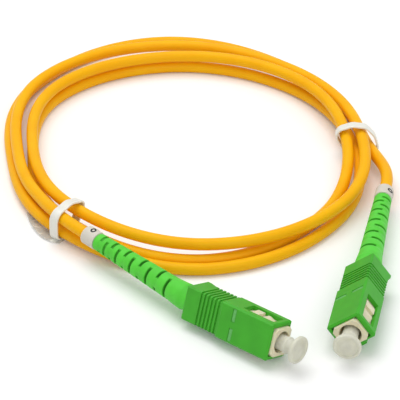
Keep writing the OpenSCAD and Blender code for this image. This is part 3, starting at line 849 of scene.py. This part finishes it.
def drawn_round(corners, radius, bowed=0.11, spacing=0.25, easings=10):
    """The closed line that a strap takes round circles of one radius at the corners of a figure.

    An arc at each corner runs from the outward direction of one side to that of the next, and runs
    join the arcs. A run on top bows outwards by bowed of its length times sin^2 of the way along,
    the others are straight. The line is then cut into even steps and eased: each point moves to a
    half of itself and a quarter of either neighbour.
    """
    side = np.roll(corners, -1, 0) - corners
    outward = np.arctan2(-side[:, 0], side[:, 1])
    before = np.roll(outward, 1)
    sweep = (outward - before) % (2 * math.pi)
    share = np.linspace(0, 1, 24)
    angle = before[:, None] + sweep[:, None] * share
    arcs = corners[:, None] + radius * np.stack([np.cos(angle), np.sin(angle)], -1)
    start, end = arcs[:, -1:], np.roll(arcs, -1, 0)[:, :1]
    square = np.stack([np.cos(outward), np.sin(outward)], -1)[:, None]
    on_top = square[..., 1] > 0.1
    bow = bowed * np.linalg.norm(end - start, axis=2) * on_top * np.sin(math.pi * share) ** 2
    runs = start + (end - start) * share[:, None] + square * bow[..., None]
    line = np.concatenate([np.concatenate([arcs, runs], 1).reshape(-1, 2), arcs[0, :1]])
    line = evened(line, spacing, closed=True)
    for _ in range(easings):
        line = (np.roll(line, 1, 0) + 2 * line + np.roll(line, -1, 0)) / 4
    return line


def loose_end(name):
    """The left tie's loose end: a thin strip between two edges, the outer one curled up.

    Each row is a straight line from the inner edge to the outer, raised by curl s^2 at the share s
    of the way. The curl grows over the first rows and then waves, and is 0.7 mm at most.
    """
    row = np.linspace(0, len(LOOSE_INNER) - 1, 40)
    # each edge's guides beyond its ends mirror its second and its last but one point
    inner, outer = (
        through(np.array([2 * edge[0] - edge[1], *edge, 2 * edge[-1] - edge[-2]]), row)[:, None]
        for edge in (LOOSE_INNER, LOOSE_OUTER))
    flat = strap_section(1.0, LOOSE_THICK, 24)
    share = flat[:, :1] + 0.5
    place = inner * (1 - share) + outer * share
    curl = 0.7 * smooth_step(row, 0.6, 1.8) * (0.7 + 0.3 * np.sin(2.6 * row))
    height = LOOSE_HIGH + flat[:, 1] + np.outer(curl, share ** 2)
    return skin(name, beside_coil(0, place[..., 0], place[..., 1], height))


class CORD_OT_settle(bpy.types.Operator):
    """Works out the cord's middle line and the end of boot A, and keeps neither"""
    bl_idname = "cord.settle"
    bl_label = "State the cord"

    def execute(self, context):
        points = cord_points()
        boot_point(BOOT_END, "a")
        return {"FINISHED"}


class CORD_OT_boots(bpy.types.Operator):
    """Forms the two slotted boots"""
    bl_idname = "cord.boots"
    bl_label = "Boots"

    def execute(self, context):
        plug = context.scene.cord_plugs
        material = moulded_tpe_green(plug.boot)
        for end in PLUGS:
            grid, depth = boot_grid(end, plug.boot_wide / MM, plug.boot_tip / MM)
            piece = skin(f"boot_{end}_shell", laid(grid, end), loop=True)
            piece.data.attributes.new("depth", "FLOAT", "POINT").data.foreach_set("value", depth.ravel())
            finish_piece(piece, FIXED, material, "green_boot", f"boot_{end}")
        return {"FINISHED"}


def boot_grid(end, wide, tip, columns=128, slots=10, slot=0.85):
    """The boot's surface as radius over distance and angle, and its depth below the plain skin, in mm.

    Behind the knee the radius falls in a straight line to the tip, and over the first 4 mm it
    flares by up to 0.25 mm more. Before the knee come the round body in the grip's mouth and the
    neck inside the grip. Slot i lies 4.7 + 3.4 i - 0.093 i^2 mm behind the knee. It lowers the
    radius to the flat 1.23 mm off the middle line, which is 1.23 / cos(a) for an angle a from the
    slot's own direction, but never below 1.85 mm. Slots point up and down and to the sides by
    turns. The tip's edge is a quarter ellipse, 0.5 mm long and 0.25 mm deep.
    """
    neck, neck_end, body, flare, flat, core = 2.65, 24.0, 3.05, 0.25, 1.23, 1.85
    # beside each slot the skin falls by rim over the width lip, and the slot's walls have a draft
    rim, lip, draft, edge = 0.04, 0.06, 0.03, 0.5
    count = np.arange(slots)
    centres = KNEE + 4.7 + 3.4 * count - 0.093 * count ** 2
    half = slot / 2
    plain = np.concatenate([
        [BOOT_FRONT, 21.0, 21.2, 22.5, 23.9, neck_end, 24.05, 24.3, 25.5, 26.5],
        [27.3, 27.6, KNEE, 28.1, 29, 30, 31, centres[0] - half - 0.5, centres[0] - half - lip],
        *[np.linspace(c + half + lip, d - half - lip, 5) for c, d in zip(centres, centres[1:])],
        centres[-1] + half + np.array([lip, 0.6, 1.0]),
        BOOT_END - np.array([edge, 0.3, 0.15, 0.05, 0.0]),
    ])
    walls = np.concatenate([c + np.array([-half, draft - half, half - draft, half]) for c in centres])
    back = np.concatenate([plain, walls])
    cut = np.concatenate([np.zeros(len(plain), bool), np.tile([False, True, True, False], slots)])
    row = np.concatenate([np.full(len(plain), -1), np.repeat(count, 4)])
    order = np.argsort(back)
    back, cut, row = back[order], cut[order], row[order]
    radius = wide / 2 + (tip - wide) / 2 * (back - KNEE) / (BOOT_END - KNEE)
    radius += flare * np.clip(1 - (back - KNEE) / 4, 0, 1)
    radius = np.where(back < KNEE, body + 0.2 * smooth_step(back, KNEE - 0.6, KNEE), radius)
    radius = np.where(back <= neck_end, neck, radius)
    turned_in = ((back - BOOT_END + edge) / edge).clip(0, 1)
    radius -= edge / 2 * (1 - np.sqrt(1 - turned_in ** 2))
    radius -= np.where((row >= 0) & ~cut, rim, 0)
    quarter = np.where(row % 2 == 0, math.pi / 2, 0.0)
    lean = np.abs(np.cos(around(columns)[None, :] - quarter[:, None]))
    # the least lean only keeps the division from zero
    floor = np.maximum(flat / np.maximum(lean, 1e-3), core)
    outer = np.where(cut[:, None], np.minimum(floor, radius[:, None] - rim), radius[:, None])
    # the bore from the tip forward, wider round the crimp sleeve
    bore = np.array([
        *((at, JACKET_BORE) for at in (BOOT_END, 50, 40, 30, 27, 25.65)), (25.6, 1.8),
        *((at, 2.35) for at in (25.5, 23, BOOT_FRONT))])
    every = np.concatenate([outer, np.repeat(bore[:, 1:], columns, 1)])
    middle, frames = along(np.concatenate([back, bore[:, 0]]), end)
    depth = np.concatenate([radius[:, None] - outer, np.zeros((len(bore), columns))])
    return rings(middle, frames, every, columns), depth


class CORD_OT_caps(bpy.types.Operator):
    """Turns the two dust caps, with their round discs"""
    bl_idname = "cord.caps"
    bl_label = "Dust caps"

    def execute(self, context):
        plug = context.scene.cord_plugs
        material = moulded_ldpe_clear(plug.cap)
        grid = cap_grid(plug.cap_width / MM / 2)
        for end in PLUGS:
            piece = skin(f"dust_cap_{end}_shell", laid(grid, end), loop=True)
            finish_piece(piece, f"cap_{end}", material, "cap_plastic", f"dust_cap_{end}")
        return {"FINISHED"}


def cap_grid(disc):
    """A dust cap's surface in its plug's own frame, in mm: an outline turned about the plug's line.

    The outline's points are (height, radius), up the outside, over the disc and down the blind bore.
    """
    outline = [
        (-2, 1.42), (-2, 1.7), (-1.88, 1.81), (-1.7, 1.85), (0, 1.85), (2.05, 1.85), (2.2, 1.9),
        (2.3, 2.03), (2.9, 2.03), (3.0, 1.93), (3.15, 1.86), (4.5, 1.86), (4.8, 1.92), (4.95, 2.15),
        (4.97, 2.5), (4.97, disc - 0.35), (5.03, disc - 0.15), (5.18, disc - 0.03), (5.35, disc),
        (5.65, disc), (5.82, disc - 0.03), (5.97, disc - 0.14), (6.04, disc - 0.32),
        (6.04, disc - 0.55), (5.97, disc - 0.68), (5.8, disc - 0.8), (5.78, 1.75), (5.84, 1.6),
        (5.9, 1.5), (5.9, 0.6), (5.84, 0.45), (5.84, 0.02),
    ]
    bore = [(3.9, 0.02), (3.9, 1.1), (3.7, 1.3), (2, 1.3), (0, 1.3), (-1.8, 1.3)]
    height, radius = np.array(outline + bore).T
    middle = np.outer(height, [0, 0, 1])
    return rings(middle, np.repeat(np.eye(3)[None], len(height), 0), radius, 64)


class CORD_OT_marks(bpy.types.Operator):
    """Prints the two index bars on each grip's wide face"""
    bl_idname = "cord.marks"
    bl_label = "Index marks"

    def execute(self, context):
        material = printed_ink("printed_ink_pale", context.scene.cord_plugs.mark)
        for end in PLUGS:
            for name, across in (("left", -BAR_ACROSS), ("right", BAR_ACROSS)):
                piece = index_bar(f"index_mark_{end}_{name}", end, across)
                finish_piece(piece, f"outer_grip_{end}", material, "green_housing")
        return {"FINISHED"}


def index_bar(name, end, across):
    """A low pillow of ink: rows from its top down, each an oblong and a share of the bar's size."""
    share, lift = np.array([(0, 1), (0.6, 0.95), (0.85, 0.7), (1, 0.2), (1, 0)]).T[:, :, None]
    # the top row is a small oblong, too, so that its flat face has a size
    size = 0.02 + 0.98 * share
    x, z = oblong(around(40), 0.3)
    x, z = across + BAR_HALF[0] * size * x, -BAR_BACK + BAR_HALF[1] * size * z
    y = BAR_FLOOR + BAR_HIGH * lift + 0 * x
    return skin(name, laid(np.stack([x, y, z], -1), end))


class CORD_OT_springs(bpy.types.Operator):
    """Winds the springs behind the ferrules"""
    bl_idname = "cord.springs"
    bl_label = "Springs"

    def execute(self, context):
        steel = turned_metal("drawn_spring_steel", linear("#b9bcc0"), 0.2, 0.35)
        # a helix of even curls that starts and ends half a wire inside the spring's length
        turn = np.linspace(0, 2 * math.pi * SPRING_CURLS, 40 * SPRING_CURLS + 1)
        rise = SPRING_SEAT + SPRING_WIRE + (SPRING_LONG - 2 * SPRING_WIRE) * turn / turn[-1]
        helix = np.stack([SPRING_RADIUS * np.cos(turn), SPRING_RADIUS * np.sin(turn), rise], -1)
        section = circle_section(SPRING_WIRE * MM, 10)
        for end in PLUGS:
            seat, middle, ahead = laid([(0, 0, SPRING_SEAT), (0, 0, 0), (0, 0, 1)], end)
            axis = ahead - middle
            piece = swept(f"spring_{end}_wire", laid(helix, end), section, upright=axis)
            finish_piece(piece, FIXED, steel, "spring_steel", f"spring_{end}")
            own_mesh(piece)
        return {"FINISHED"}


class CORD_OT_finishes(bpy.types.Operator):
    """Gives the plugs' other pieces their materials"""
    bl_idname = "cord.finishes"
    bl_label = "Finishes"

    def execute(self, context):
        plug = context.scene.cord_plugs
        ivory = moulded_pbt_ivory(plug.frame)
        made = {
            "grip": moulded_pbt_green(plug.grip),
            "plug_frame": ivory,
            "rear_body": ivory,
            "ferrule": polished_zirconia(linear("#f1efe9")),
            "ferrule_flange": turned_metal("plated_brass", linear("#cfc3a0"), 0.25, 0.4),
            "crimp_sleeve": turned_metal("drawn_aluminium", linear("#c6c8ca"), 0.3, 0.45),
            "inner_tube": moulded_ldpe_clear(linear("#dfe3e0")),
            "fibre": moulded_nylon_white(linear("#f0f0ee")),
            "aramid_yarn": spun_aramid(linear("#e0bf62")),
        }
        for name, material in made.items():
            for end in PLUGS:
                node = frame["nodes"][f"{name}_{end}"]
                node.data.materials.clear()
                node.data.materials.append(material)
        return {"FINISHED"}


class CORD_OT_stage(bpy.types.Operator):
    """Sets the white table, the lamps and the even light"""
    bl_idname = "cord.stage"
    bl_label = "Stage"

    def execute(self, context):
        stage = context.scene.cord_stage
        # half the table's side, in metres
        edge = 3.0
        corners = [(-edge, -edge, 0), (edge, -edge, 0), (edge, edge, 0), (-edge, edge, 0)]
        mesh = bpy.data.meshes.new("table")
        mesh.from_pydata(corners, [], [(0, 1, 2, 3)])
        table = bpy.data.objects.new("table", mesh)
        context.scene.collection.objects.link(table)
        mesh.materials.append(white_table(stage.table, stage.bounce, stage.lift))
        # each lamp is a disc of light, in metres and watts, and points at the coil
        lamps = (("key", (-0.15, 0.25, 0.9), 0.8, stage.key), ("fill", (0.3, -0.8, 0.6), 0.7, stage.fill))
        for name, place, size, power in lamps:
            data = bpy.data.lights.new(name, "AREA")
            data.shape, data.size, data.energy = "DISK", size, power
            lamp = bpy.data.objects.new(name, data)
            lamp.location = place
            towards = Vector((0, 0.04, 0)) - lamp.location
            lamp.rotation_euler = towards.to_track_quat("-Z", "Y").to_euler()
            context.scene.collection.objects.link(lamp)
        world = bpy.data.worlds.new("studio")
        context.scene.world = world
        world.use_nodes = True
        world.node_tree.nodes.clear()
        sky = add(world.node_tree, "Background", {"Color": (1, 1, 1, 1), "Strength": stage.sky})
        add(world.node_tree, "OutputWorld", {"Surface": sky})
        context.scene.view_settings.view_transform = "Standard"
        return {"FINISHED"}


class CORD_PT_panel(bpy.types.Panel):
    """Lists the settings and the steps"""
    bl_label = "Patch cord"
    bl_idname = "CORD_PT_panel"
    bl_space_type = "VIEW_3D"
    bl_region_type = "UI"
    bl_category = "Patch cord"

    def draw(self, context):
        for title, group in (("Cord", context.scene.cord_sizes), ("Plugs", context.scene.cord_plugs),
                             ("Stage", context.scene.cord_stage)):
            box = self.layout.box()
            box.label(text=title)
            for name in group.bl_rna.properties.keys():
                if name not in ("rna_type", "name"):
                    box.prop(group, name)
        for step in STEPS:
            self.layout.operator(step.bl_idname)


STEPS = (CORD_OT_camera, CORD_OT_jacket, CORD_OT_sleeves, CORD_OT_ties, CORD_OT_settle, CORD_OT_boots,
         CORD_OT_caps, CORD_OT_marks, CORD_OT_springs, CORD_OT_finishes, CORD_OT_stage)
GROUPS = (CordSettings, PlugSettings, StageSettings)


def register():
    """Registers the settings, the steps and the panel."""
    for item in (*GROUPS, *STEPS, CORD_PT_panel):
        bpy.utils.register_class(item)
    bpy.types.Scene.cord_sizes = bpy.props.PointerProperty(type=CordSettings)
    bpy.types.Scene.cord_plugs = bpy.props.PointerProperty(type=PlugSettings)
    bpy.types.Scene.cord_stage = bpy.props.PointerProperty(type=StageSettings)


def unregister():
    """Takes them all away again."""
    del bpy.types.Scene.cord_stage, bpy.types.Scene.cord_plugs, bpy.types.Scene.cord_sizes
    for item in reversed((*GROUPS, *STEPS, CORD_PT_panel)):
        bpy.utils.unregister_class(item)


def main():
    register()
    for step in STEPS:
        getattr(bpy.ops.cord, step.bl_idname.split(".")[1])()


if __name__ == "__main__":
    main()
